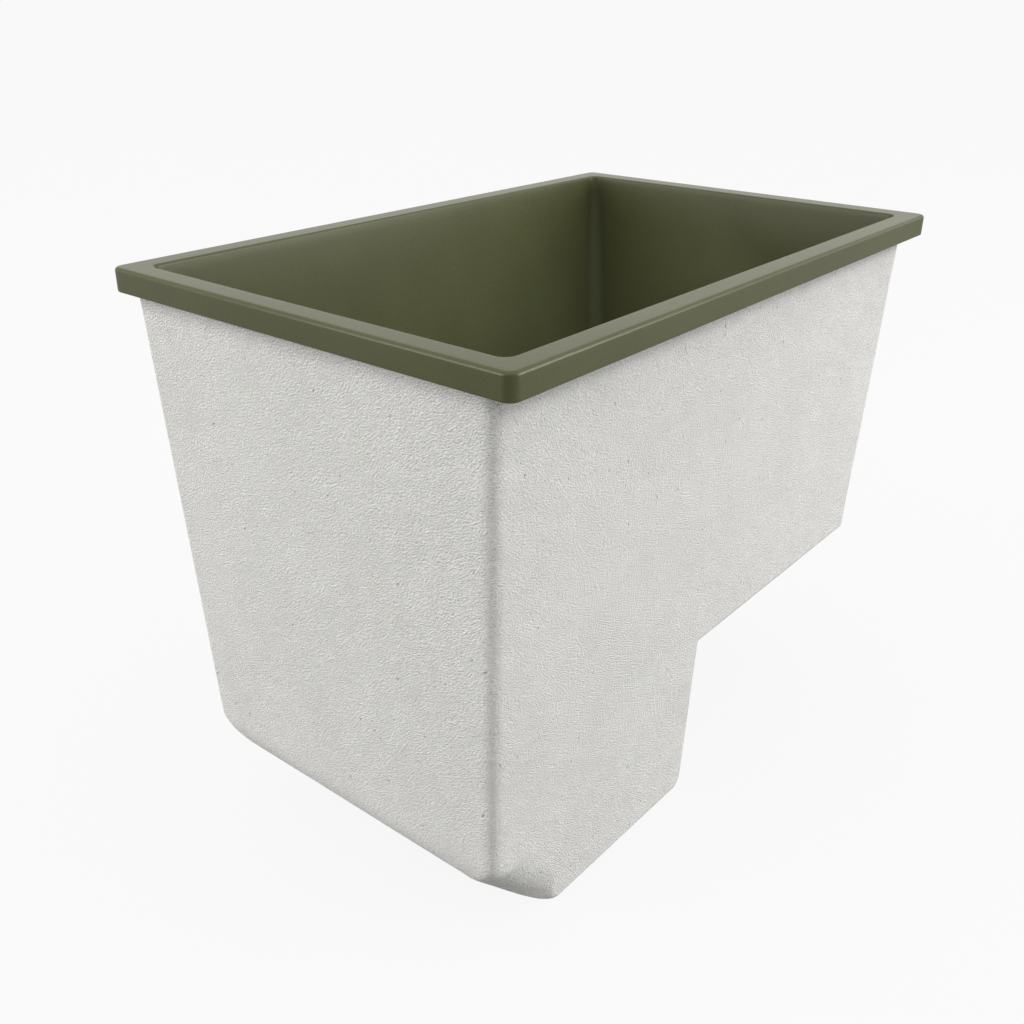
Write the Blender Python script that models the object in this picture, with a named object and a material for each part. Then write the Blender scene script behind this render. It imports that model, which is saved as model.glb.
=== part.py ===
"""Stepped wash tub: a thin plastic liner with a square rim, dropped into a
moulded-fibre outer shell.

The tub has a deep well at its -X end and a shallow shelf at its +X end.  The
liner hangs over the shell by a turned-down rim, a flat gasket in the rim's
channel beds on the shell's top edge, and closed-cell foam boards glued inside
the shell carry the liner's floor and walls.  The liner lifts straight out.

Row frame: origin at the centre of the flat under the deep well, +X towards the
shelf, +Z up, +Y across.  Metres.
"""
import math

import bmesh
import bpy
from mathutils import Vector

# ---------------------------------------------------------------- dimensions
# Overall
RIM_LENGTH = 0.4000            # rim, outside, along X
RIM_WIDTH = 0.2506             # rim, outside, along Y
TUB_HEIGHT = 0.3174            # flat under the well to the rim's top face
RIM_CENTRE_X = 0.0706          # rim's centre, ahead of the well's foot

# Rim, a turned-down channel that is one moulding with the liner
RIM_FACE = 0.0133              # width of the rim's top face
RIM_FACE_SHALLOW = 0.0151      # and its width across the shallow end
RIM_DROP = 0.0121              # depth of the rim's outer skirt
RIM_SKIN = 0.0028              # thickness of the rim's top and skirt
RIM_CORNER = 0.0055            # plan radius of the rim's outer corners
RIM_TOP_EDGE = 0.0018          # rounding of the outer top edge
RIM_LOW_EDGE = 0.0009          # rounding of the skirt's lower edge
RIM_IN_EDGE = 0.0012           # rounding where the top face turns into the bath

# Liner
LINER_WALL = 0.0012
LINER_END_DRAFT = math.radians(4.5)
LINER_SIDE_DRAFT = math.radians(6.0)
LINER_SHELF_DEPTH = 0.2010     # rim's top face to the shelf's upper face
LINER_WELL_DEPTH = 0.3020      # rim's top face to the well's floor
LINER_RISER_X = -0.0181        # well face of the riser, at the well's floor
LINER_RISER_DRAFT = math.radians(1.5)
LINER_CORNER_TOP = 0.0052      # radius of the upright corners at the rim
LINER_CORNER_LOW = 0.0130      # and near the floor

# Outer shell
SHELL_WALL = 0.0014
SHELL_TOP_DEPTH = 0.0090       # rim's top face to the shell's top edge
SHELL_REF_DEPTH = 0.0116       # depth at which the plan sizes below are given
SHELL_DEEP_END_X = -0.1966     # outside of the deep end, from the rim's centre
SHELL_SHALLOW_END_X = 0.1967   # outside of the shallow end
SHELL_HALF_WIDTH = 0.1139
SHELL_DEEP_DRAFT = math.radians(2.49)
SHELL_SIDE_DRAFT = math.radians(2.11)
SHELL_SHALLOW_DRAFT = math.radians(1.0)
SHELF_HEIGHT = 0.1035          # flat under the well to the shelf's underside
SHELL_RISER_X = -0.0053        # outside of the riser at the foot
SHELL_RISER_DRAFT = math.radians(0.13)
HEEL_RISE = 0.0472             # the deep end turns under in a wide heel
HEEL_RUN = 0.0431
HEEL_UPPER_R = 0.0342
HEEL_LOWER_R = 0.0289
HEEL_EDGE_R = 0.0208           # side edges of the heel
UPRIGHT_EDGE_R = 0.0068        # upright corners at the two ends
RISER_EDGE_R = 0.0020          # upright corners of the riser, at its foot
HEEL_FOOT_EDGE_R = 0.0040      # side edges where the heel runs into the flat
BOTTOM_EDGE_R = 0.0014         # long edges under the well and the shelf
FOOT_R = 0.0080                # foot of the riser
STEP_R = 0.0008                # inside corner where riser meets the shelf
SHELF_END_R = 0.0074           # shelf's underside into the shallow end

# Gasket and boards
GAP = 0.0003                   # clearance between touching pieces
GASKET_THICK = 0.0056

# ---------------------------------------------------------------- geometry
H = TUB_HEIGHT


def profile(corners, radii, edge_radii, steps):
    """Rows along an open outline in the XZ plane.

    corners: outline points, from the deep end's top round to the shallow
    end's top.  radii: rounding of each inner corner.  edge_radii: for each
    corner, the side-edge radius before and after its arc.  Returns a list of
    (x, z, outward x, outward z, side-edge radius).
    """
    pts = [Vector(c) for c in corners]
    n = len(pts)

    def normal(a, b):
        t = (b - a).normalized()
        return Vector((t.y, -t.x))

    rows = [(pts[0].x, pts[0].y, -1.0, 0.0, edge_radii[0][1])]
    for k in range(1, n - 1):
        p, q, s = pts[k - 1], pts[k], pts[k + 1]
        n1, n2 = normal(p, q), normal(q, s)
        turn = n1.x * n2.y - n1.y * n2.x      # > 0 on an outside corner
        sign = 1.0 if turn > 0 else -1.0
        ang = math.acos(max(-1.0, min(1.0, n1.dot(n2))))
        r = radii[k - 1]
        start = q - (q - p).normalized() * (r * math.tan(ang / 2))
        centre = start - n1 * r * sign
        m = steps[k - 1]
        e0, e1 = edge_radii[k]
        for i in range(m + 1):
            f = i / m
            a = ang * f * sign
            d = Vector((n1.x * math.cos(a) - n1.y * math.sin(a),
                        n1.x * math.sin(a) + n1.y * math.cos(a)))
            c = centre + d * r * sign
            ease = f * f * (3 - 2 * f)
            rows.append((c.x, c.y, d.x, d.y, e0 + (e1 - e0) * ease))
    rows.append((pts[-1].x, pts[-1].y, 1.0, 0.0, edge_radii[-1][0]))
    return rows


def offset_outline(corners, t):
    """Move an open outline inwards by t, keeping its end points level."""
    pts = [Vector(c) for c in corners]
    lines = []
    for a, b in zip(pts, pts[1:]):
        d = (b - a).normalized()
        nrm = Vector((d.y, -d.x))
        lines.append((a - nrm * t, d))
    out = []
    a, d = lines[0]
    out.append(a + d * ((pts[0].y - a.y) / d.y))
    for (a, d), (b, e) in zip(lines, lines[1:]):
        den = d.x * e.y - d.y * e.x
        s = ((b.x - a.x) * e.y - (b.y - a.y) * e.x) / den
        out.append(a + d * s)
    a, d = lines[-1]
    out.append(a + d * ((pts[-1].y - a.y) / d.y))
    return [(p.x, p.y) for p in out]


def section(x, z, nx, nz, edge_r, half_width, quarter):
    """One row across the tub: side edge, flat, side edge, from -Y to +Y."""
    row = []
    for side in (-1, 1):
        part = []
        for i in range(quarter + 1):
            a = math.radians(90.0) * i / quarter
            off = edge_r * (1 - math.cos(a))
            px, pz = x - nx * off, z - nz * off
            y = half_width(pz) - edge_r * (1 - math.sin(a))
            part.append(Vector((px, side * y, pz)))
        row += part[::-1] if side < 0 else part
    return row


def plan_loop(x0, x1, half_y, corner, z, quarter):
    """Rounded rectangle at height z, ordered as the rows' ends are."""
    loop = []
    for end in (0, 1):
        x, nx = ((x0, -1.0), (x1, 1.0))[end]
        row = section(x, z, nx, 0.0, corner, lambda _z: half_y, quarter)
        loop += row if end == 0 else row[::-1]
    return loop


def surface(bm, rows, half_width, quarter, inward):
    """Skin over an outline: ends, floors, rounded side edges and two sides.

    Returns the loop of vertices along its open top.
    """
    grid = [[bm.verts.new(p) for p in
             section(*row, half_width, quarter)] for row in rows]
    for a, b in zip(grid, grid[1:]):
        for i in range(len(a) - 1):
            quad = (a[i], a[i + 1], b[i + 1], b[i])
            bm.faces.new(quad[::-1] if inward else quad)
    left = [row[0] for row in grid]
    right = [row[-1] for row in grid]
    for side, flip in ((left, False), (right, True)):
        bm.faces.new(side[::-1] if flip != inward else side)
    return grid[0] + grid[-1][::-1]


def ring_verts(bm, points):
    return [bm.verts.new(p) for p in points]


def bridge(bm, a, b):
    """Quads between two loops of the same length and order."""
    n = len(a)
    for i in range(n):
        j = (i + 1) % n
        bm.faces.new((a[i], b[i], b[j], a[j]))


def material(name, rgb, roughness, metallic=0.0):
    mat = bpy.data.materials.new(name)
    mat.use_nodes = True
    bsdf = mat.node_tree.nodes["Principled BSDF"]
    bsdf.inputs["Base Color"].default_value = (*rgb, 1.0)
    bsdf.inputs["Roughness"].default_value = roughness
    bsdf.inputs["Metallic"].default_value = metallic
    mat.diffuse_color = (*rgb, 1.0)
    return mat


def finish(name, bm, mat, parent, smooth=True, crease=32.0):
    bmesh.ops.recalc_face_normals(bm, faces=bm.faces[:])
    mesh = bpy.data.meshes.new(name)
    bm.to_mesh(mesh)
    bm.free()
    mesh.materials.append(mat)
    if smooth:
        mesh.shade_smooth()
        mesh.set_sharp_from_angle(angle=math.radians(crease))
    obj = bpy.data.objects.new(name, mesh)
    bpy.context.scene.collection.objects.link(obj)
    obj.parent = parent
    return obj


def rim_x(x):
    """From the rim's centre to the row frame."""
    return x + RIM_CENTRE_X


# ------------------------------------------------------------------- outlines
def shell_half_width(inset=0.0):
    slope = math.tan(SHELL_SIDE_DRAFT)
    ref = H - SHELL_REF_DEPTH
    return lambda z: SHELL_HALF_WIDTH - inset - slope * (ref - z)


def shell_outline():
    ref = H - SHELL_REF_DEPTH
    top = H - SHELL_TOP_DEPTH

    def deep(z):
        return rim_x(SHELL_DEEP_END_X) + math.tan(SHELL_DEEP_DRAFT) * (ref - z)

    def shallow(z):
        return rim_x(SHELL_SHALLOW_END_X) - math.tan(SHELL_SHALLOW_DRAFT) * (ref - z)

    riser = rim_x(SHELL_RISER_X)
    return [
        (deep(top), top),
        (deep(HEEL_RISE), HEEL_RISE),
        (deep(0.0) + HEEL_RUN, 0.0),
        (riser, 0.0),
        (riser + math.tan(SHELL_RISER_DRAFT) * SHELF_HEIGHT, SHELF_HEIGHT),
        (shallow(SHELF_HEIGHT), SHELF_HEIGHT),
        (shallow(top), top),
    ]


def shell_rows(t=0.0):
    """Shell's outline rows, moved inwards by t."""
    u = UPRIGHT_EDGE_R - t
    b = max(BOTTOM_EDGE_R - t, 0.0004)
    h = max(HEEL_FOOT_EDGE_R - t, 0.0004)
    foot = RISER_EDGE_R - t
    heel = HEEL_EDGE_R - t
    return profile(
        offset_outline(shell_outline(), t) if t else shell_outline(),
        [HEEL_UPPER_R - t, HEEL_LOWER_R - t, FOOT_R - t, STEP_R + t, SHELF_END_R - t],
        [(u, u), (u, heel), (heel, h), (b, foot), (b, b), (b, u), (u, u)],
        [8, 9, 6, 4, 6])


def liner_half_width(outset=0.0):
    slope = math.tan(LINER_SIDE_DRAFT)
    top = RIM_WIDTH / 2 - RIM_FACE
    return lambda z: top + outset - slope * (H - z)


def liner_outline(top):
    d = math.tan(LINER_END_DRAFT)
    floor = H - LINER_WELL_DEPTH
    shelf = H - LINER_SHELF_DEPTH
    half = RIM_LENGTH / 2

    def deep(z):
        return rim_x(RIM_FACE - half) + d * (H - z)

    def shallow(z):
        return rim_x(half - RIM_FACE_SHALLOW) - d * (H - z)

    riser = rim_x(LINER_RISER_X)
    lean = math.tan(LINER_RISER_DRAFT)
    return [
        (deep(top), top),
        (deep(floor + 0.032), floor + 0.032),
        (deep(floor) + 0.030, floor),
        (riser, floor),
        (riser + lean * (shelf - floor), shelf),
        (shallow(shelf), shelf),
        (shallow(top), top),
    ]


def liner_rows(top, t=0.0):
    """Bath side of the liner; a negative t gives the side facing the shell."""
    ct, cl = LINER_CORNER_TOP - t, LINER_CORNER_LOW - t
    return profile(
        offset_outline(liner_outline(top), t) if t else liner_outline(top),
        [0.022 - t, 0.022 - t, 0.014 - t, 0.008 + t, 0.014 - t],
        [(ct, ct), (cl, cl), (cl, cl), (cl, cl), (cl, cl), (cl, cl), (ct, ct)],
        [5, 5, 6, 5, 6])


# --------------------------------------------------------------------- pieces
def make_shell(mat, parent):
    q = 7
    bm = bmesh.new()
    outer = surface(bm, shell_rows(), shell_half_width(), q, False)
    inner = surface(bm, shell_rows(SHELL_WALL), shell_half_width(SHELL_WALL), q, True)
    bridge(bm, outer, inner)
    return finish("outer_shell", bm, mat, parent)


def make_liner(mat, parent):
    q = 7
    bm = bmesh.new()
    x0, x1 = rim_x(-RIM_LENGTH / 2), rim_x(RIM_LENGTH / 2)

    # bath side, up to just below the rim's inner edge
    z_in = H - RIM_IN_EDGE
    bath = surface(bm, liner_rows(z_in), liner_half_width(), q, True)
    loops = [bath]

    # rim section: inner edge, top face, outer edge, skirt, channel
    def ring(inset, z, corner, wider=0.0):
        loops.append(ring_verts(bm, plan_loop(x0 + inset, x1 - inset - wider,
                                              RIM_WIDTH / 2 - inset, corner, z, q)))
    for k in range(1, 4):
        a = math.radians(90.0) * k / 3
        ring(RIM_FACE - RIM_IN_EDGE * (1 - math.cos(a)),
             z_in + RIM_IN_EDGE * math.sin(a),
             LINER_CORNER_TOP + RIM_IN_EDGE * (1 - math.cos(a)),
             RIM_FACE_SHALLOW - RIM_FACE)
    for k in range(0, 4):
        a = math.radians(90.0) * k / 3
        inset = RIM_TOP_EDGE * (1 - math.sin(a))
        ring(inset, H - RIM_TOP_EDGE * (1 - math.cos(a)), RIM_CORNER - inset)
    skirt = H - RIM_DROP
    for k in range(0, 4):
        a = math.radians(90.0) * k / 3
        inset = RIM_LOW_EDGE * (1 - math.cos(a))
        ring(inset, skirt + RIM_LOW_EDGE * (1 - math.sin(a)), RIM_CORNER - inset)
    ring(RIM_SKIN, skirt, RIM_CORNER - RIM_SKIN)
    ring(RIM_SKIN, H - RIM_SKIN, RIM_CORNER - RIM_SKIN)

    # shell side of the walls, from the channel's roof down
    outside = surface(bm, liner_rows(H - RIM_SKIN, -LINER_WALL),
                      liner_half_width(LINER_WALL), q, False)
    loops.append(outside)
    for a, b in zip(loops, loops[1:]):
        bridge(bm, a, b)
    return finish("liner", bm, mat, parent)


def make_gasket(mat, parent):
    q = 5
    bm = bmesh.new()
    x0, x1 = rim_x(-RIM_LENGTH / 2), rim_x(RIM_LENGTH / 2)
    out = RIM_SKIN + GAP
    top = H - RIM_SKIN - GAP
    low = top - GASKET_THICK
    inner = RIM_FACE - LINER_WALL
    corner_in = LINER_CORNER_TOP + LINER_WALL
    wider = RIM_FACE_SHALLOW - RIM_FACE
    loops = []
    for inset, z, corner, more in ((out, low, RIM_CORNER - out, 0.0),
                                   (out, top, RIM_CORNER - out, 0.0),
                                   (inner, top, corner_in, wider),
                                   (inner, low, corner_in, wider)):
        loops.append(ring_verts(bm, plan_loop(x0 + inset, x1 - inset - more,
                                              RIM_WIDTH / 2 - inset, corner, z, q)))
    for a, b in zip(loops, loops[1:] + loops[:1]):
        bridge(bm, a, b)
    return finish("rim_gasket", bm, mat, parent)


def wedge(name, outline, near, far, axis, mat, parent, edge=0.0006):
    """Foam board cut to an outline, with two faces that may slope.

    outline: points (u, v); near and far give the third coordinate of each
    face at (u, v).  axis 0: u = y, v = z, thickness along X; axis 1: u = x,
    v = z, thickness along Y; axis 2: u = x, v = y, thickness along Z.
    """
    place = {0: lambda u, v, w: (w, u, v),
             1: lambda u, v, w: (u, w, v),
             2: lambda u, v, w: (u, v, w)}[axis]
    bm = bmesh.new()
    a = [bm.verts.new(place(u, v, near(u, v))) for u, v in outline]
    b = [bm.verts.new(place(u, v, far(u, v))) for u, v in outline]
    bm.faces.new(a)
    bm.faces.new(b[::-1])
    bridge(bm, a, b)
    bmesh.ops.recalc_face_normals(bm, faces=bm.faces[:])
    bmesh.ops.bevel(bm, geom=bm.edges[:], offset=edge, segments=1, affect='EDGES')
    return finish(name, bm, mat, parent, smooth=False)


def make_boards(mat, parent):
    deep_shell = math.tan(SHELL_DEEP_DRAFT)
    end_liner = math.tan(LINER_END_DRAFT)
    ref = H - SHELL_REF_DEPTH
    half = RIM_LENGTH / 2

    # faces of the shell (inside) and of the liner (outside), as planes
    def shell_deep(z):
        return rim_x(SHELL_DEEP_END_X) + deep_shell * (ref - z) + SHELL_WALL + GAP

    def liner_deep(z):
        return rim_x(RIM_FACE - half) + end_liner * (H - z) - LINER_WALL - GAP

    def shell_shallow(z):
        return (rim_x(SHELL_SHALLOW_END_X)
                - math.tan(SHELL_SHALLOW_DRAFT) * (ref - z) - SHELL_WALL - GAP)

    def liner_shallow(z):
        return rim_x(half - RIM_FACE_SHALLOW) - end_liner * (H - z) + LINER_WALL + GAP

    shell_y = shell_half_width(SHELL_WALL + GAP)
    liner_y = liner_half_width(LINER_WALL + GAP)

    riser = rim_x(SHELL_RISER_X)
    riser_in = riser - SHELL_WALL - GAP
    liner_riser = rim_x(LINER_RISER_X) + LINER_WALL + GAP
    floor_low = SHELL_WALL + GAP
    floor_top = H - LINER_WELL_DEPTH - LINER_WALL - GAP
    shelf_low = SHELF_HEIGHT + SHELL_WALL + GAP
    shelf_top = H - LINER_SHELF_DEPTH - LINER_WALL - GAP

    def rect(u0, v0, u1, v1):
        return [(u0, v0), (u1, v0), (u1, v1), (u0, v1)]

    wedge("well_floor_board",
          rect(rim_x(-0.124), -0.095, rim_x(-0.022), 0.095),
          lambda u, v: floor_low, lambda u, v: floor_top, 2, mat, parent)
    wedge("shelf_floor_board",
          rect(rim_x(-0.0055), -0.098, rim_x(0.178), 0.098),
          lambda u, v: shelf_low, lambda u, v: shelf_top, 2, mat, parent)
    lean = math.tan(SHELL_RISER_DRAFT)
    wedge("riser_board",
          rect(-0.092, 0.014, 0.092, shelf_low - GAP - 0.0006),
          lambda u, v: liner_riser + math.tan(LINER_RISER_DRAFT) * (v - 0.015),
          lambda u, v: riser_in + lean * v, 0, mat, parent)
    wedge("deep_end_board",
          rect(-0.084, 0.064, 0.084, H - 0.030),
          lambda u, v: shell_deep(v), lambda u, v: liner_deep(v), 0, mat, parent)
    wedge("shallow_end_board",
          rect(-0.086, shelf_top + 0.006, 0.086, H - 0.034),
          lambda u, v: liner_shallow(v), lambda u, v: shell_shallow(v), 0,
          mat, parent)

    # side boards follow the step: a long upper part and a leg down the well
    leg_low, top = 0.0165, H - 0.050
    upper_low = shelf_top + 0.003
    xa, xb = rim_x(-0.160), rim_x(0.162)
    la, lb = rim_x(-0.124), rim_x(-0.030)
    outline = [(xa, 0.062), (la, leg_low), (lb, leg_low), (lb, upper_low),
               (xb, upper_low), (xb, top), (xa, top)]
    for name, s in (("side_board_left", 1), ("side_board_right", -1)):
        wedge(name, outline,
              lambda u, v, s=s: s * liner_y(v), lambda u, v, s=s: s * shell_y(v),
              1, mat, parent)


def main():
    for obj in list(bpy.data.objects):
        bpy.data.objects.remove(obj, do_unlink=True)

    olive = material("olive_plastic", (0.125, 0.130, 0.078), 0.55)
    fibre = material("moulded_fibre", (0.62, 0.61, 0.585), 0.95)
    rubber = material("gasket_foam", (0.035, 0.035, 0.037), 0.85)
    foam = material("foam_board", (0.80, 0.80, 0.77), 0.9)

    # the fixed group stands on the well's foot; the lift-out group rises
    # along Z from the same origin
    fixed = bpy.data.objects.new("fixed_group", None)
    lift = bpy.data.objects.new("lift_out_group", None)
    for empty in (fixed, lift):
        bpy.context.scene.collection.objects.link(empty)
    lift.parent = fixed

    make_shell(fibre, fixed)
    make_boards(foam, fixed)
    make_liner(olive, lift)
    make_gasket(rubber, lift)


main()
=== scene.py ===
"""Looks of the stepped wash tub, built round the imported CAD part.

The liner and the outer shell are rebuilt here as finer meshes of the same
shapes and sizes; the gasket and the foam boards stay the CAD nodes.  Metres,
row frame: origin under the deep well, +X towards the shelf, +Z up.
"""
import math

import bmesh
import bpy
import numpy as np
from mathutils import Matrix, Vector, geometry, noise


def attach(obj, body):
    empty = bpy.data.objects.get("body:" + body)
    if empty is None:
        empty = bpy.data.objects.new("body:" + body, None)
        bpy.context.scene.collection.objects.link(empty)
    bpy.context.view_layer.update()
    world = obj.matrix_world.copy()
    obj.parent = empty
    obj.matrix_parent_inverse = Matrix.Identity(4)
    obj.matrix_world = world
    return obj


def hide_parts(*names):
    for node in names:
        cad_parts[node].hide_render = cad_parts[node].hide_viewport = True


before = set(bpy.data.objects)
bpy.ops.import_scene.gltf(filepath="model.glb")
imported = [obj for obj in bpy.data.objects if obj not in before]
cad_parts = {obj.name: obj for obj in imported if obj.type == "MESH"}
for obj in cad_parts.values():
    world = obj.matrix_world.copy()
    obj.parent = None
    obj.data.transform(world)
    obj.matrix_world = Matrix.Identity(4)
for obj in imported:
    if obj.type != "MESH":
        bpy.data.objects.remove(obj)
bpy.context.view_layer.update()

# ---------------------------------------------------------------- dimensions
H = 0.3174                 # foot to the rim's top face
RIM_LENGTH = 0.4000
RIM_WIDTH = 0.2506
RIM_CENTRE_X = 0.0706
RIM_FACE = 0.0133
RIM_FACE_SHALLOW = 0.0151
RIM_DROP = 0.0121
RIM_SKIN = 0.0028
RIM_CORNER = 0.0055
RIM_TOP_EDGE = 0.0018
RIM_LOW_EDGE = 0.0009
RIM_IN_EDGE = 0.0012

LINER_WALL = 0.0012
LINER_END_DRAFT = math.radians(4.5)
LINER_SIDE_DRAFT = math.radians(6.0)
LINER_SHELF_DEPTH = 0.2010
LINER_WELL_DEPTH = 0.3020
LINER_RISER_X = -0.0181
LINER_RISER_DRAFT = math.radians(1.5)
LINER_CORNER_TOP = 0.0052
LINER_CORNER_LOW = 0.0130

SHELL_WALL = 0.0014
SHELL_TOP_DEPTH = 0.0090
SHELL_REF_DEPTH = 0.0116
SHELL_DEEP_END_X = -0.1966
SHELL_SHALLOW_END_X = 0.1967
SHELL_HALF_WIDTH = 0.1139
SHELL_DEEP_DRAFT = math.radians(2.49)
SHELL_SIDE_DRAFT = math.radians(2.11)
SHELL_SHALLOW_DRAFT = math.radians(1.0)
SHELF_HEIGHT = 0.1035
SHELL_RISER_X = -0.0053
SHELL_RISER_DRAFT = math.radians(0.13)
HEEL_RISE = 0.0472
HEEL_RUN = 0.0431
HEEL_UPPER_R = 0.0342
HEEL_LOWER_R = 0.0289
HEEL_EDGE_R = 0.0208
UPRIGHT_EDGE_R = 0.0068
RISER_EDGE_R = 0.0020
HEEL_FOOT_EDGE_R = 0.0040
BOTTOM_EDGE_R = 0.0014
FOOT_R = 0.0080
STEP_R = 0.0008
SHELF_END_R = 0.0074


# Light: sky level, its rise towards the sweep's foot and upwards, its dips in
# front and up the sweep; the floor's glow on the tub (level, rise to the back,
# fall to +X) and towards the viewer; the two soft lights and the bath's fill in W
WORLD = (0.87, 0.32, 0.48, 0.42, 0.50)
FLOOR_GLOW = (0.54, 0.18, 0.32, 0.28)
FLOOR_SEEN = 0.895
LIGHTS = (33.0, 26.0, 0.220)


def rim_x(x):
    return x + RIM_CENTRE_X


# ------------------------------------------------------------------ mesh code
def offset_outline(corners, t):
    """Move an open outline inwards by t, keeping its end points level."""
    pts = [Vector(c) for c in corners]
    lines = []
    for a, b in zip(pts, pts[1:]):
        d = (b - a).normalized()
        lines.append((a - Vector((d.y, -d.x)) * t, d))
    a, d = lines[0]
    out = [a + d * ((pts[0].y - a.y) / d.y)]
    for (a, d), (b, e) in zip(lines, lines[1:]):
        s = ((b.x - a.x) * e.y - (b.y - a.y) * e.x) / (d.x * e.y - d.y * e.x)
        out.append(a + d * s)
    a, d = lines[-1]
    out.append(a + d * ((pts[-1].y - a.y) / d.y))
    return [(p.x, p.y) for p in out]


def profile(corners, radii, edge_radii, step):
    """Rows (x, z, outward x, outward z, side-edge radius) along an outline in
    XZ, with arcs and straights both cut to about one step."""
    pts = [Vector(c) for c in corners]
    rows = []

    def normal(a, b):
        t = (b - a).normalized()
        return Vector((t.y, -t.x))

    def straight(a, b, nrm, r0, r1):
        n = max(1, round((b - a).length / step))
        for i in range(1, n):
            c = a.lerp(b, i / n)
            rows.append((c.x, c.y, nrm.x, nrm.y, r0 + (r1 - r0) * i / n))

    rows.append((pts[0].x, pts[0].y, -1.0, 0.0, edge_radii[0][1]))
    last = pts[0]
    for k in range(1, len(pts) - 1):
        p, q, s = pts[k - 1], pts[k], pts[k + 1]
        n1, n2 = normal(p, q), normal(q, s)
        sign = 1.0 if n1.x * n2.y - n1.y * n2.x > 0 else -1.0
        ang = math.acos(max(-1.0, min(1.0, n1.dot(n2))))
        r = radii[k - 1]
        start = q - (q - p).normalized() * (r * math.tan(ang / 2))
        straight(last, start, n1, edge_radii[k - 1][1], edge_radii[k][0])
        centre = start - n1 * r * sign
        m = max(5, round(r * ang / min(step, 0.0022)))
        e0, e1 = edge_radii[k]
        for i in range(m + 1):
            f = i / m
            a = ang * f * sign
            d = Vector((n1.x * math.cos(a) - n1.y * math.sin(a),
                        n1.x * math.sin(a) + n1.y * math.cos(a)))
            c = centre + d * r * sign
            rows.append((c.x, c.y, d.x, d.y, e0 + (e1 - e0) * (3 * f * f - 2 * f ** 3)))
        last = Vector((rows[-1][0], rows[-1][1]))
    straight(last, pts[-1], normal(pts[-2], pts[-1]), edge_radii[-2][1], edge_radii[-1][0])
    rows.append((pts[-1].x, pts[-1].y, 1.0, 0.0, edge_radii[-1][0]))
    return rows


def section(x, z, nx, nz, r, half_width, quarter, across):
    """One row across the tub, from -Y to +Y, with rounded side edges."""
    sides = {}
    for side in (-1, 1):
        part = []
        for i in range(quarter + 1):
            a = math.radians(90.0) * i / quarter
            off = r * (1 - math.cos(a))
            px, pz = x - nx * off, z - nz * off
            part.append(Vector((px, side * (half_width(pz) - r * (1 - math.sin(a))), pz)))
        sides[side] = part
    a, b = sides[-1][0], sides[1][0]
    flat = [a.lerp(b, i / across) for i in range(1, across)]
    return sides[-1][::-1] + flat + sides[1]


def plan_loop(x0, x1, half_y, corner, z, quarter, across, along):
    """Rounded rectangle at height z, in the same order as a skin's top."""
    loop = []
    for end in (0, 1):
        x, nx = ((x0, -1.0), (x1, 1.0))[end]
        row = section(x, z, nx, 0.0, corner, lambda _z: half_y, quarter, across)
        row = row if end == 0 else row[::-1]
        if loop:
            loop += between(loop[-1], row[0], along)
        loop += row
    return loop + between(loop[-1], loop[0], along)


def between(a, b, n):
    return [a.lerp(b, i / n) for i in range(1, n)]


def inside_points(loop, step):
    """Staggered grid of points inside a closed 2-D loop, clear of its edge."""
    poly = np.array([(p[0], p[1]) for p in loop])
    nxt = np.roll(poly, -1, 0)
    lo, hi = poly.min(0), poly.max(0)
    xs = np.arange(lo[0] + step * 0.5, hi[0], step)
    zs = np.arange(lo[1] + step * 0.5, hi[1], step)
    gx, gz = np.meshgrid(xs, zs)
    gx[1::2] += step * 0.5
    pts = np.stack([gx.ravel(), gz.ravel()], 1)
    inside = np.zeros(len(pts), bool)
    near = np.full(len(pts), 1e9)
    for a, b in zip(poly, nxt):
        up = (a[1] > pts[:, 1]) != (b[1] > pts[:, 1])
        if a[1] != b[1]:
            cut = a[0] + (pts[:, 1] - a[1]) * (b[0] - a[0]) / (b[1] - a[1])
            inside ^= up & (pts[:, 0] < cut)
        d = b - a
        t = np.clip(((pts - a) @ d) / max(d @ d, 1e-18), 0, 1)
        near = np.minimum(near, np.linalg.norm(pts - a - t[:, None] * d, axis=1))
    return pts[inside & (near > step * 0.6)]


def skin(bm, rows, half_width, quarter, across, along, step, inward, group):
    """Ends, floors, rounded side edges and the two flat sides of a tub.

    Returns the vertices round its open top."""
    grid = [[bm.verts.new(p) for p in
             section(*row, half_width, quarter, across)] for row in rows]
    for a, b in zip(grid, grid[1:]):
        for i in range(len(a) - 1):
            quad = (a[i], a[i + 1], b[i + 1], b[i])
            bm.faces.new(quad[::-1] if inward else quad)
    tops = {}
    for sgn, edge in ((-1, [row[0] for row in grid]), (1, [row[-1] for row in grid])):
        top = [bm.verts.new(p) for p in between(edge[-1].co, edge[0].co, along)]
        tops[sgn] = top
        loop = edge + top
        flat = [(v.co.x, v.co.z) for v in loop]
        inner = inside_points(flat, step)
        verts2 = [Vector(p) for p in flat] + [Vector(p) for p in inner]
        out = geometry.delaunay_2d_cdt(verts2, [], [list(range(len(flat)))], 1, 1e-7)
        made = []
        for co, ids in zip(out[0], out[3]):
            k = min(ids) if ids else None
            if k is not None and k < len(loop):
                made.append(loop[k])
            else:
                made.append(bm.verts.new((co.x, sgn * half_width(co.y), co.y)))
        for tri in out[2]:
            f = [made[i] for i in tri]
            if len(set(f)) == 3:
                bm.faces.new(f)
    ring = (grid[0] + tops[1][::-1] + grid[-1][::-1] + tops[-1])
    for v in {w for row in grid for w in row} | set(ring):
        v[group] = 1
    return ring


def bridge(bm, a, b):
    n = len(a)
    for i in range(n):
        j = (i + 1) % n
        bm.faces.new((a[i], b[i], b[j], a[j]))


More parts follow.
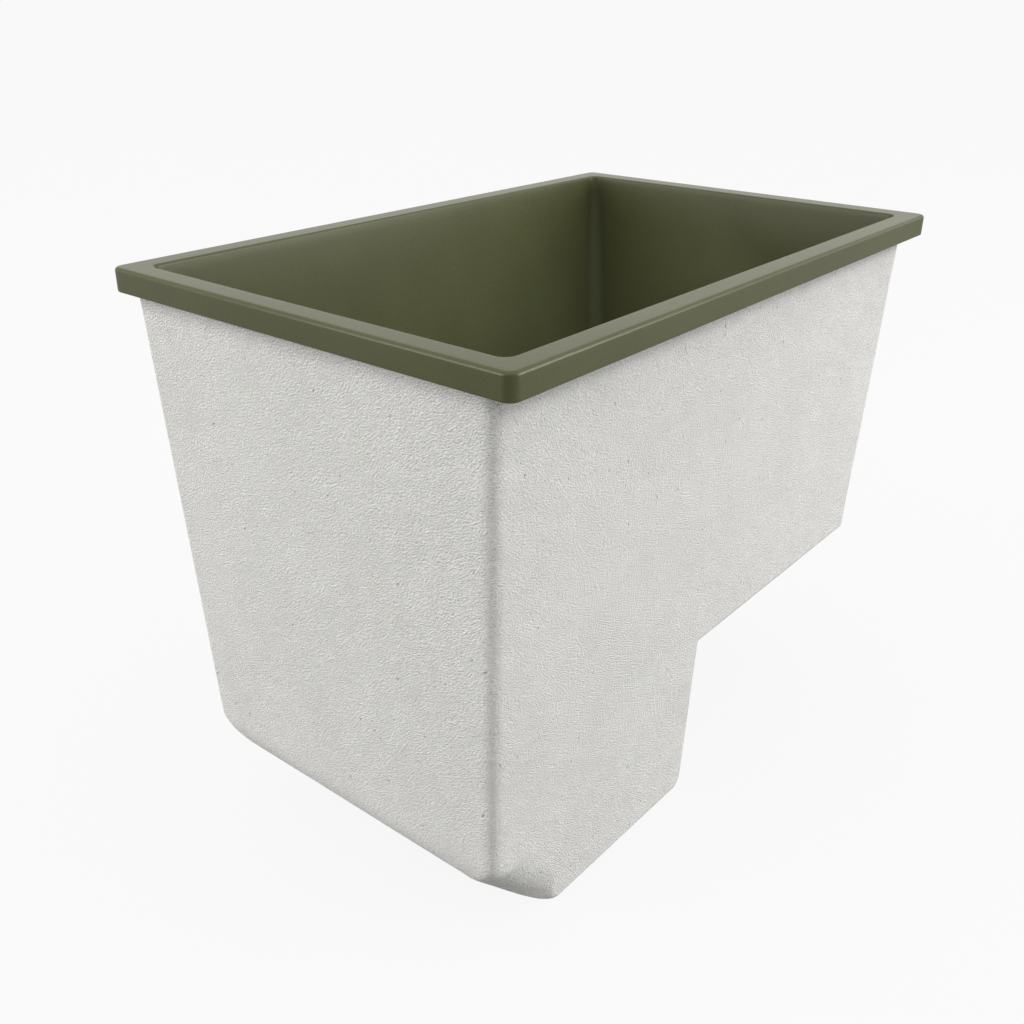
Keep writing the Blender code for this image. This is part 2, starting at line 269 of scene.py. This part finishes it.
def finish_mesh(name, bm, mats, crease=34.0):
    bmesh.ops.recalc_face_normals(bm, faces=bm.faces[:])
    mesh = bpy.data.meshes.new(name)
    bm.to_mesh(mesh)
    bm.free()
    for m in mats:
        mesh.materials.append(m)
    mesh.shade_smooth()
    mesh.set_sharp_from_angle(angle=math.radians(crease))
    obj = bpy.data.objects.new(name, mesh)
    bpy.context.scene.collection.objects.link(obj)
    weighted = obj.modifiers.new("even_normals", "WEIGHTED_NORMAL")
    weighted.keep_sharp = True
    return obj


# ------------------------------------------------------------------- outlines
def shell_half_width(inset=0.0):
    slope = math.tan(SHELL_SIDE_DRAFT)
    return lambda z: SHELL_HALF_WIDTH - inset - slope * (H - SHELL_REF_DEPTH - z)


def shell_rows(t, step):
    ref, top = H - SHELL_REF_DEPTH, H - SHELL_TOP_DEPTH

    def deep(z):
        return rim_x(SHELL_DEEP_END_X) + math.tan(SHELL_DEEP_DRAFT) * (ref - z)

    def shallow(z):
        return rim_x(SHELL_SHALLOW_END_X) - math.tan(SHELL_SHALLOW_DRAFT) * (ref - z)

    riser = rim_x(SHELL_RISER_X)
    outline = [(deep(top), top), (deep(HEEL_RISE), HEEL_RISE),
               (deep(0.0) + HEEL_RUN, 0.0), (riser, 0.0),
               (riser + math.tan(SHELL_RISER_DRAFT) * SHELF_HEIGHT, SHELF_HEIGHT),
               (shallow(SHELF_HEIGHT), SHELF_HEIGHT), (shallow(top), top)]
    u, b = UPRIGHT_EDGE_R - t, max(BOTTOM_EDGE_R - t, 0.0004)
    foot, heel = RISER_EDGE_R - t, HEEL_EDGE_R - t
    h = max(HEEL_FOOT_EDGE_R - t, 0.0004)
    return profile(
        offset_outline(outline, t) if t else outline,
        [HEEL_UPPER_R - t, HEEL_LOWER_R - t, FOOT_R - t, STEP_R + t, SHELF_END_R - t],
        [(u, u), (u, heel), (heel, h), (b, foot), (b, b), (b, u), (u, u)], step)


def liner_half_width(outset=0.0):
    slope = math.tan(LINER_SIDE_DRAFT)
    return lambda z: RIM_WIDTH / 2 - RIM_FACE + outset - slope * (H - z)


def liner_rows(top, t, step):
    d = math.tan(LINER_END_DRAFT)
    floor, shelf = H - LINER_WELL_DEPTH, H - LINER_SHELF_DEPTH
    half = RIM_LENGTH / 2

    def deep(z):
        return rim_x(RIM_FACE - half) + d * (H - z)

    def shallow(z):
        return rim_x(half - RIM_FACE_SHALLOW) - d * (H - z)

    riser = rim_x(LINER_RISER_X)
    outline = [(deep(top), top), (deep(floor + 0.032), floor + 0.032),
               (deep(floor) + 0.030, floor), (riser, floor),
               (riser + math.tan(LINER_RISER_DRAFT) * (shelf - floor), shelf),
               (shallow(shelf), shelf), (shallow(top), top)]
    ct, cl = LINER_CORNER_TOP - t, LINER_CORNER_LOW - t
    return profile(
        offset_outline(outline, t) if t else outline,
        [0.022 - t, 0.022 - t, 0.014 - t, 0.008 + t, 0.014 - t],
        [(ct, ct), (cl, cl), (cl, cl), (cl, cl), (cl, cl), (cl, cl), (ct, ct)], step)


# --------------------------------------------------------------------- pieces
def make_shell(mats):
    step, q, across, along = 0.0026, 8, 84, 140
    bm = bmesh.new()
    skin_of = bm.verts.layers.int.new("skin")
    outer = skin(bm, shell_rows(0.0, step), shell_half_width(), q, across, along,
                 step, False, skin_of)
    outside = list(bm.verts)
    inner = skin(bm, shell_rows(SHELL_WALL, step * 2), shell_half_width(SHELL_WALL),
                 q, across, along, step * 2, True, skin_of)
    bridge(bm, outer, inner)
    bmesh.ops.recalc_face_normals(bm, faces=bm.faces[:])
    bm.normal_update()
    # the moulded wall is never quite flat: slow hollows, all of them inwards
    moves = []
    for v in outside:
        p = v.co
        slow = noise.noise(p * 14.0 + Vector((3.1, 7.7, 1.3)))
        mid = noise.noise(p * 55.0 + Vector((9.2, 2.4, 5.8)))
        fine = noise.noise(p * 190.0 + Vector((4.4, 8.1, 6.6)))
        depth = 0.00016 + 0.00010 * slow + 0.00007 * mid + 0.00003 * fine
        hold = min(1.0, max(0.0, (p.z - 0.0006) / 0.004))
        moves.append((v, v.normal * (-max(0.0, depth) * hold)))
    for v, d in moves:
        v.co += d
    obj = finish_mesh("shell_skin", bm, mats)
    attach(obj, "shell")
    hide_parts("outer_shell")
    return obj


def make_liner(mats):
    step, q, across, along = 0.0032, 8, 72, 118
    bm = bmesh.new()
    skin_of = bm.verts.layers.int.new("skin")
    x0, x1 = rim_x(-RIM_LENGTH / 2), rim_x(RIM_LENGTH / 2)
    z_in = H - RIM_IN_EDGE
    loops = [skin(bm, liner_rows(z_in, 0.0, step), liner_half_width(), q, across,
                  along, step, True, skin_of)]

    def ring(inset, z, corner, wider=0.0):
        loops.append([bm.verts.new(p) for p in plan_loop(
            x0 + inset, x1 - inset - wider, RIM_WIDTH / 2 - inset, corner, z, q,
            across, along)])

    extra = RIM_FACE_SHALLOW - RIM_FACE

    for k in range(1, 6):
        a = math.radians(90.0) * k / 5
        ring(RIM_FACE - RIM_IN_EDGE * (1 - math.cos(a)), z_in + RIM_IN_EDGE * math.sin(a),
             LINER_CORNER_TOP + RIM_IN_EDGE * (1 - math.cos(a)), extra)
    face_in, face_out = RIM_FACE - RIM_IN_EDGE, RIM_TOP_EDGE
    c_in, c_out = LINER_CORNER_TOP + RIM_IN_EDGE, RIM_CORNER - RIM_TOP_EDGE
    for k in range(1, 5):
        f = k / 5
        ring(face_in + (face_out - face_in) * f, H, c_in + (c_out - c_in) * f,
             extra * (1 - f))
    for k in range(0, 7):
        a = math.radians(90.0) * k / 6
        inset = RIM_TOP_EDGE * (1 - math.sin(a))
        ring(inset, H - RIM_TOP_EDGE * (1 - math.cos(a)), RIM_CORNER - inset)
    skirt = H - RIM_DROP
    for k in range(1, 4):
        ring(0.0, (H - RIM_TOP_EDGE) + (skirt + RIM_LOW_EDGE - H + RIM_TOP_EDGE) * k / 4,
             RIM_CORNER)
    for k in range(0, 6):
        a = math.radians(90.0) * k / 5
        inset = RIM_LOW_EDGE * (1 - math.cos(a))
        ring(inset, skirt + RIM_LOW_EDGE * (1 - math.sin(a)), RIM_CORNER - inset)
    ring(RIM_SKIN - 0.0004, skirt, RIM_CORNER - RIM_SKIN + 0.0004)
    ring(RIM_SKIN, skirt + 0.0004, RIM_CORNER - RIM_SKIN)
    ring(RIM_SKIN, H - RIM_SKIN, RIM_CORNER - RIM_SKIN)
    loops.append(skin(bm, liner_rows(H - RIM_SKIN, -LINER_WALL, step),
                      liner_half_width(LINER_WALL), q, across, along, step, False, skin_of))
    for a, b in zip(loops, loops[1:]):
        bridge(bm, a, b)
    obj = finish_mesh("liner_skin", bm, mats)
    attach(obj, "lift_out_liner")
    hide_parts("liner")
    return obj


# ------------------------------------------------------------------ materials
class Nodes:
    """Small helper round one node tree."""

    def __init__(self, tree):
        self.tree = tree

    def add(self, kind, inputs=None, **props):
        n = self.tree.nodes.new(kind)
        for k, v in props.items():
            setattr(n, k, v)
        for k, v in (inputs or {}).items():
            self.put(n, k, v)
        return n

    def put(self, n, key, value):
        sock = n.inputs[key]
        if isinstance(value, bpy.types.NodeSocket):
            self.tree.links.new(value, sock)
        else:
            sock.default_value = value

    def math(self, op, a, b=0.0, clamp=False):
        return self.add("ShaderNodeMath", {0: a, 1: b}, operation=op,
                        use_clamp=clamp).outputs[0]

    def vec(self, op, a, b=(0, 0, 0), scale=None, out="Vector"):
        ins = {0: a, 1: b}
        if scale is not None:
            ins = {0: a, "Scale": scale}
        return self.add("ShaderNodeVectorMath", ins, operation=op).outputs[out]

    def noise(self, vector, scale, detail=2.0, rough=0.5, out="Fac", **extra):
        return self.add("ShaderNodeTexNoise",
                        {"Vector": vector, "Scale": scale, "Detail": detail,
                         "Roughness": rough, **extra}).outputs[out]

    def ramp(self, fac, low, high, a=0.0, b=1.0, smooth=True):
        return self.add("ShaderNodeMapRange",
                        {"Value": fac, "From Min": low, "From Max": high,
                         "To Min": a, "To Max": b},
                        interpolation_type="SMOOTHSTEP" if smooth else "LINEAR",
                        clamp=True).outputs["Result"]

    def mix(self, fac, a, b, blend="MIX"):
        n = self.add("ShaderNodeMix", data_type="RGBA", blend_type=blend)
        self.put(n, 0, fac)
        self.put(n, 6, a)
        self.put(n, 7, b)
        return n.outputs[2]


def new_material(name, diffuse):
    mat = bpy.data.materials.new(name)
    mat.use_nodes = True
    mat.diffuse_color = (*diffuse, 1.0)
    tree = mat.node_tree
    bsdf = tree.nodes["Principled BSDF"]
    return mat, Nodes(tree), bsdf


def coords_mm(n):
    obj = n.add("ShaderNodeTexCoord").outputs["Object"]
    return n.vec("SCALE", obj, scale=1000.0)


def grey(n, v):
    return n.add("ShaderNodeCombineColor", {0: v, 1: v, 2: v}).outputs[0]


def drawn(n, p, direction, pull):
    """Coordinates squeezed along a direction, so that grain runs along it."""
    d = Vector(direction).normalized()
    along = n.add("ShaderNodeVectorMath", {0: p, 1: d}, operation="DOT_PRODUCT").outputs["Value"]
    part = n.add("ShaderNodeCombineXYZ",
                 {i: n.math("MULTIPLY", along, d[i] * pull) for i in range(3)}).outputs[0]
    return n.vec("SUBTRACT", p, part)


def fibre_material():
    mat, n, bsdf = new_material("moulded_fibre_outside", (0.70, 0.69, 0.66))
    p = coords_mm(n)
    # slow swirl that bends the direction of the felted grain
    swirl = n.noise(p, 0.070, 1.0, 0.5, out="Color")
    swirl = n.vec("SUBTRACT", swirl, (0.5, 0.5, 0.5))
    pw = n.vec("ADD", p, n.vec("SCALE", swirl, scale=3.4))
    # grain climbs towards the front corner on one face, falls away from it on
    # the other and lies level round the corner itself
    axes = n.add("ShaderNodeSeparateXYZ",
                 {0: n.add("ShaderNodeNewGeometry").outputs["True Normal"]}).outputs
    on_end = n.ramp(n.math("ABSOLUTE", axes[0]), 0.80, 0.97)
    on_side = n.ramp(n.math("ABSOLUTE", axes[1]), 0.80, 0.97)

    def grain(scale, detail, rough, pull):
        level = n.noise(drawn(n, pw, (1.0, -1.0, 0.0), pull), scale, detail, rough)
        end = n.noise(drawn(n, pw, (0.0, -1.0, 0.68), pull), scale * 0.86, detail, rough)
        side = n.noise(drawn(n, pw, (1.0, 0.0, -0.75), pull), scale, detail, rough)
        v = n.add("ShaderNodeMix", {0: on_end, 2: level, 3: end}, data_type="FLOAT").outputs[0]
        return n.add("ShaderNodeMix", {0: on_side, 2: v, 3: side}, data_type="FLOAT").outputs[0]

    g1 = grain(1.75, 1.5, 0.65, 0.58)
    g2 = n.noise(pw, 2.6, 1.0, 0.5)
    g3 = n.noise(p, 0.30, 2.0, 0.5)
    height = n.math("ADD", n.math("MULTIPLY", g1, 0.80), n.math("MULTIPLY", g2, 0.34))
    height = n.math("ADD", height, n.math("MULTIPLY", g3, 0.18))
    # sparse short pits, of uneven size and spread
    cell = n.add("ShaderNodeTexVoronoi",
                 {"Vector": drawn(n, pw, (0.35, -1.0, 1.1), 0.6), "Scale": 0.26,
                  "Randomness": 1.0}, feature="F1")
    rgb = n.add("ShaderNodeSeparateColor", {0: cell.outputs["Color"]}).outputs
    crowd = n.noise(p, 0.03, 1.0, 0.5)
    here = n.ramp(n.math("ADD", rgb[0], n.math("MULTIPLY", crowd, 0.5)), 1.04, 1.09)
    size = n.math("ADD", 0.07, n.math("MULTIPLY", rgb[1], 0.15))
    pit = n.ramp(n.math("DIVIDE", cell.outputs["Distance"], size), 0.4, 1.0, 1.0, 0.0)
    pit = n.math("MULTIPLY", pit, here)
    height = n.math("SUBTRACT", height, n.math("MULTIPLY", pit, 0.5))
    # deepest round the corners
    deep = n.add("ShaderNodeMix", {0: on_end, 2: 0.0016, 3: 0.0012}, data_type="FLOAT").outputs[0]
    deep = n.add("ShaderNodeMix", {0: on_side, 2: deep, 3: 0.0013}, data_type="FLOAT").outputs[0]
    bump = n.add("ShaderNodeBump", {"Strength": 1.0, "Distance": deep, "Height": height})
    # colour: slow mottling; hollows painted a little darker and pits darker still, as painted
    # shade in the relief
    slow = n.noise(p, 0.020, 3.0, 0.55)
    base = n.mix(n.ramp(slow, 0.35, 0.65), (0.726, 0.718, 0.702, 1), (0.750, 0.742, 0.726, 1))
    shade = n.ramp(n.math("ADD", g1, n.math("MULTIPLY", g2, 0.4)), 0.46, 0.92, 0.86, 1.06)
    shade = n.math("MULTIPLY", shade, n.ramp(pit, 0.0, 1.0, 1.0, 0.74))
    # painted relief shading on the end faces: the grain's edges towards the upper light are
    # painted paler than their undersides
    lean = (0.0, -1.0, 0.68)
    painted_relief_shade = n.noise(drawn(n, pw, lean, 0.5), 1.5, 0.5, 0.5)
    grain_toward_light = n.noise(drawn(n, n.vec("ADD", pw, (0.0, 0.20, 0.34)), lean, 0.5), 1.5, 0.5, 0.5)
    painted_relief_shade = n.math("MULTIPLY", n.math("SUBTRACT", painted_relief_shade, grain_toward_light), on_end)
    shade = n.math("MULTIPLY", shade, n.math("ADD", 1.0, n.math("MULTIPLY", painted_relief_shade, 0.80)))
    # painted shadow: the walls are painted darker just under the overhanging rim
    up = n.add("ShaderNodeSeparateXYZ", {0: p}).outputs[2]
    under = n.ramp(up, H * 1000 - 23.0, H * 1000 - 10.5)
    under = n.math("MULTIPLY", under, n.math("SUBTRACT", 1.0, on_side))
    shade = n.math("MULTIPLY", shade, n.ramp(under, 0.0, 1.0, 1.0, 0.69, smooth=False))
    # on the long sides a separate painted shadow under the rim, fading out 30 mm below its top
    under = n.math("POWER", n.ramp(up, H * 1000 - 30.0, H * 1000 - 20.0, smooth=False), 3.0)
    under = n.math("MULTIPLY", under, on_side)
    shade = n.math("MULTIPLY", shade, n.ramp(under, 0.0, 1.0, 1.0, 0.70, smooth=False))
    # painted shade: the lower edges of the well and the shelf are painted slightly darker
    edge = n.ramp(up, 0.6, 2.6, 1.0, 0.0)
    shelf_edge_shade = n.ramp(n.math("ABSOLUTE", n.math("SUBTRACT", up, SHELF_HEIGHT * 1000 + 0.5)),
                 0.6, 1.9, 1.0, 0.0)
    x = n.add("ShaderNodeSeparateXYZ", {0: p}).outputs[0]
    riser = rim_x(SHELL_RISER_X) * 1000
    shelf_edge_shade = n.math("MULTIPLY", shelf_edge_shade, n.ramp(x, riser - 1.0, riser + 1.0))
    shade = n.math("MULTIPLY", shade, n.ramp(edge, 0.0, 1.0, 1.0, 0.66, smooth=False))
    shade = n.math("MULTIPLY", shade, n.ramp(shelf_edge_shade, 0.0, 1.0, 1.0, 0.72, smooth=False))
    col = n.mix(1.0, base, grey(n, shade), "MULTIPLY")
    n.put(bsdf, "Base Color", col)
    bsdf.inputs["Roughness"].default_value = 0.92
    bsdf.inputs["Specular IOR Level"].default_value = 0.20
    n.put(bsdf, "Normal", bump.outputs[0])
    return mat


def plastic_material():
    mat, n, bsdf = new_material("olive_satin_plastic", (0.10, 0.105, 0.06))
    p = coords_mm(n)
    grain = n.noise(p, 1.5, 2.0, 0.55)
    slow = n.noise(p, 0.018, 2.0, 0.5)
    speck = n.noise(p, 2.4, 0.0, 0.5)
    base = n.mix(n.ramp(slow, 0.35, 0.65), (0.066, 0.0705, 0.0280, 1), (0.072, 0.0765, 0.0310, 1))
    shade = n.ramp(speck, 0.2, 0.8, 0.93, 1.08)
    # painted shade: the upright inner corners are painted a little darker (and made rougher),
    # where shade falls
    xyz = n.add("ShaderNodeSeparateXYZ", {0: p}).outputs
    drop = n.math("SUBTRACT", H * 1000, xyz[2])
    from_side = n.math("SUBTRACT", (RIM_WIDTH / 2 - RIM_FACE) * 1000,
                       n.math("MULTIPLY", drop, math.tan(LINER_SIDE_DRAFT)))
    from_side = n.math("SUBTRACT", from_side, n.math("ABSOLUTE", xyz[1]))
    from_end = n.math("SUBTRACT", (RIM_LENGTH / 2 - RIM_FACE_SHALLOW) * 1000,
                      n.math("MULTIPLY", drop, math.tan(LINER_END_DRAFT)))
    from_end = n.math("SUBTRACT", from_end,
                      n.math("ABSOLUTE", n.math("SUBTRACT", xyz[0], RIM_CENTRE_X * 1000)))
    corner = n.ramp(n.math("MAXIMUM", from_side, from_end), 1.0, 15.0, 1.0, 0.0)
    corner = n.math("MULTIPLY", corner,
                    n.ramp(n.math("MINIMUM", from_side, from_end), -0.9, -0.4))
    corner = n.math("MULTIPLY", corner, n.ramp(drop, 1.0, 12.0))
    shade = n.math("MULTIPLY", shade, n.ramp(corner, 0.0, 1.0, 1.0, 0.74, smooth=False))
    # painted shade: the faces turned towards the deep end are painted a little darker too
    ends = n.add("ShaderNodeSeparateXYZ",
                 {0: n.add("ShaderNodeNewGeometry").outputs["True Normal"]}).outputs[0]
    shade = n.math("MULTIPLY", shade, n.ramp(ends, -0.97, -0.70, 0.90, 1.0))
    col = n.mix(1.0, base, grey(n, shade), "MULTIPLY")
    n.put(bsdf, "Base Color", col)
    rough = n.math("ADD", n.ramp(grain, 0.3, 0.7, 0.27, 0.34), n.math("MULTIPLY", corner, 0.42))
    n.put(bsdf, "Roughness", rough)
    bsdf.inputs["IOR"].default_value = 1.42
    bsdf.inputs["Specular Tint"].default_value = (1.0, 0.995, 0.88, 1.0)
    bump = n.add("ShaderNodeBump", {"Strength": 0.8, "Distance": 0.00003, "Height": grain})
    n.put(bsdf, "Normal", bump.outputs[0])
    return mat


def gasket_material():
    mat, n, bsdf = new_material("foam_rubber", (0.03, 0.03, 0.032))
    p = coords_mm(n)
    cell = n.add("ShaderNodeTexVoronoi", {"Vector": p, "Scale": 1.6}, feature="F1")
    pore = n.ramp(cell.outputs["Distance"], 0.12, 0.42)
    base = n.mix(pore, (0.012, 0.012, 0.013, 1), (0.040, 0.040, 0.043, 1))
    n.put(bsdf, "Base Color", base)
    bsdf.inputs["Roughness"].default_value = 0.85
    bump = n.add("ShaderNodeBump", {"Strength": 0.9, "Distance": 0.00012, "Height": pore})
    n.put(bsdf, "Normal", bump.outputs[0])
    return mat


def foam_material():
    mat, n, bsdf = new_material("closed_cell_foam", (0.8, 0.8, 0.77))
    p = coords_mm(n)
    cell = n.add("ShaderNodeTexVoronoi", {"Vector": p, "Scale": 0.34}, feature="F1")
    edge = n.add("ShaderNodeTexVoronoi", {"Vector": p, "Scale": 0.34},
                 feature="DISTANCE_TO_EDGE")
    tone = n.add("ShaderNodeSeparateColor", {0: cell.outputs["Color"]}).outputs[0]
    seam = n.ramp(edge.outputs["Distance"], 0.0, 0.10)
    base = n.mix(tone, (0.74, 0.74, 0.71, 1), (0.82, 0.82, 0.80, 1))
    base = n.mix(seam, (0.58, 0.58, 0.55, 1), base)
    n.put(bsdf, "Base Color", base)
    bsdf.inputs["Roughness"].default_value = 0.7
    dome = n.ramp(cell.outputs["Distance"], 0.0, 0.7, 1.0, 0.0)
    bump = n.add("ShaderNodeBump", {"Strength": 0.8, "Distance": 0.0004, "Height": dome})
    n.put(bsdf, "Normal", bump.outputs[0])
    return mat


# ---------------------------------------------------------------------- stage
def facing(n, direction, axis):
    """How far a direction points along an axis, -1 to 1."""
    unit = n.vec("NORMALIZE", direction)
    return n.add("ShaderNodeVectorMath", {0: unit, 1: axis},
                 operation="DOT_PRODUCT").outputs["Value"]


def make_stage():
    """White sweep: bright behind the tub, dimmer on the side it is seen from."""
    away = Vector((0.660, 0.751, 0.0))
    mesh = bpy.data.meshes.new("floor")
    s = 90.0
    mesh.from_pydata([(-s, -s, -0.0004), (s, -s, -0.0004), (s, s, -0.0004), (-s, s, -0.0004)],
                     [], [(0, 1, 2, 3)])
    floor = bpy.data.objects.new("floor", mesh)
    bpy.context.scene.collection.objects.link(floor)
    mat = bpy.data.materials.new("pale_floor")
    mat.use_nodes = True
    bsdf = mat.node_tree.nodes["Principled BSDF"]
    bsdf.inputs["Base Color"].default_value = (0.05, 0.05, 0.05, 1)
    bsdf.inputs["Roughness"].default_value = 1.0
    bsdf.inputs["Specular IOR Level"].default_value = 0.0
    bsdf.inputs["Emission Color"].default_value = (1, 1, 1, 1)
    n = Nodes(mat.node_tree)
    place = n.vec("SUBTRACT", n.add("ShaderNodeTexCoord").outputs["Object"], (0.05, 0.0, -0.3))
    glow = n.math("ADD", FLOOR_GLOW[0], n.math("MULTIPLY", facing(n, place, away), FLOOR_GLOW[1]))
    ahead = n.math("POWER", n.math("MAXIMUM", facing(n, place, (1, 0, 0)), 0.0), 3.0)
    glow = n.math("SUBTRACT", glow, n.math("MULTIPLY", ahead, FLOOR_GLOW[2]))
    behind = n.math("POWER", n.math("MAXIMUM", facing(n, place, (-1, 0, 0)), 0.0), 3.0)
    glow = n.math("SUBTRACT", glow, n.math("MULTIPLY", behind, FLOOR_GLOW[3]))
    # the floor close round the tub is in its shade
    near = n.ramp(n.vec("LENGTH", place, out="Value"), 0.38, 0.95, 0.70, 1.0)
    glow = n.math("MULTIPLY", glow, near)
    seen = n.add("ShaderNodeLightPath").outputs["Is Camera Ray"]
    n.put(bsdf, "Emission Strength",
          n.add("ShaderNodeMix", {0: seen, 2: glow, 3: FLOOR_SEEN}, data_type="FLOAT").outputs[0])
    mesh.materials.append(mat)

    scene = bpy.context.scene
    world = bpy.data.worlds.new("studio")
    scene.world = world
    world.use_nodes = True
    n = Nodes(world.node_tree)
    world.node_tree.nodes.clear()
    direction = n.add("ShaderNodeTexCoord").outputs["Generated"]
    side = facing(n, direction, away)
    up = n.math("MAXIMUM", facing(n, direction, (0, 0, 1)), 0.0)
    front = n.math("POWER", n.math("MAXIMUM", n.math("MULTIPLY", side, -1.0), 0.0), 2.0)
    low = n.math("POWER", n.math("SUBTRACT", 1.0, up), 2.0)
    power = n.math("ADD", WORLD[0], n.math("MULTIPLY", n.math("MULTIPLY", side, low), WORLD[1]))
    power = n.math("ADD", power, n.math("MULTIPLY", up, WORLD[2]))
    power = n.math("SUBTRACT", power, n.math("MULTIPLY", front, WORLD[3]))
    # the sweep's upper part, behind the tub, is less bright than its foot
    band = n.math("MULTIPLY", n.ramp(up, 0.19, 0.36), n.ramp(up, 0.60, 0.90, 1.0, 0.0))
    band = n.math("MULTIPLY", band, n.ramp(side, 0.2, 0.7))
    power = n.math("SUBTRACT", power, n.math("MULTIPLY", band, WORLD[4]))
    power = n.math("MAXIMUM", power, 0.02)
    lit = n.add("ShaderNodeBackground", {"Color": (1, 1, 0.95, 1), "Strength": power})
    seen = n.add("ShaderNodeBackground", {"Color": (1, 1, 1, 1), "Strength": 0.930})
    path = n.add("ShaderNodeLightPath")
    mix = n.add("ShaderNodeMixShader", {0: path.outputs["Is Camera Ray"],
                                        1: lit.outputs[0], 2: seen.outputs[0]})
    out = n.add("ShaderNodeOutputWorld")
    world.node_tree.links.new(mix.outputs[0], out.inputs["Surface"])


def area_light(name, place, target, size, power, colour=(1, 1, 1)):
    data = bpy.data.lights.new(name, "AREA")
    data.shape = "RECTANGLE"
    data.size, data.size_y = size
    data.energy = power
    data.color = colour
    obj = bpy.data.objects.new(name, data)
    bpy.context.scene.collection.objects.link(obj)
    obj.location = place
    obj.rotation_mode = "QUATERNION"
    obj.rotation_quaternion = (Vector(target) - Vector(place)).to_track_quat("-Z", "Y")
    obj.visible_camera = False
    return obj


def make_lights():
    centre = (0.06, 0.0, 0.17)
    area_light("soft_right", (1.20, -1.80, 0.62), centre, (1.4, 1.4), LIGHTS[0])
    area_light("soft_left", (-1.95, 1.0, 0.62), centre, (1.4, 1.4), LIGHTS[1])
    # low fill inside the bath, turned towards its far long wall
    mouth = Vector((RIM_CENTRE_X + 0.002, -0.042, H - 0.032))
    fill = area_light("bath_fill", mouth, mouth + Vector((-0.06, 0.62, -0.78)),
                      (0.28, 0.07), LIGHTS[2], (0.96, 0.97, 1.25))
    fill.visible_glossy = False


def make_camera():
    az, el, roll = math.radians(-51.0216), math.radians(25.7095), math.radians(0.4797)
    target = Vector((-0.7172, -0.4904, 0.0)) * 0.4 + Vector((RIM_CENTRE_X, 0, H))
    dist, focal = 0.7159 * 0.4, 1096.29
    back = Vector((math.sin(az) * math.cos(el), -math.cos(az) * math.cos(el), math.sin(el)))
    right = Vector((0, 0, 1)).cross(back).normalized()
    up = back.cross(right)
    c, s = math.cos(roll), math.sin(roll)
    right, up = right * c + up * s, up * c - right * s
    data = bpy.data.cameras.new("camera")
    data.sensor_width = 36.0
    data.lens = focal / 1024 * 36.0
    data.clip_start, data.clip_end = 0.01, 400.0
    cam = bpy.data.objects.new("camera", data)
    bpy.context.scene.collection.objects.link(cam)
    m = Matrix.Identity(4)
    for i, col in enumerate((right, up, back)):
        for j in range(3):
            m[j][i] = col[j]
    cam.matrix_world = Matrix.Translation(target + back * dist) @ m
    bpy.context.scene.camera = cam


def dress(node, mat):
    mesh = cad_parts[node].data
    mesh.materials.clear()
    mesh.materials.append(mat)


def main():
    scene = bpy.context.scene
    scene.view_settings.view_transform = "Standard"
    make_camera()
    make_stage()
    make_lights()
    make_shell([fibre_material()])
    make_liner([plastic_material()])
    rubber, foam = gasket_material(), foam_material()
    dress("rim_gasket", rubber)
    for name in ("well_floor_board", "shelf_floor_board", "riser_board", "deep_end_board",
                 "shallow_end_board", "side_board_left", "side_board_right"):
        dress(name, foam)


main()
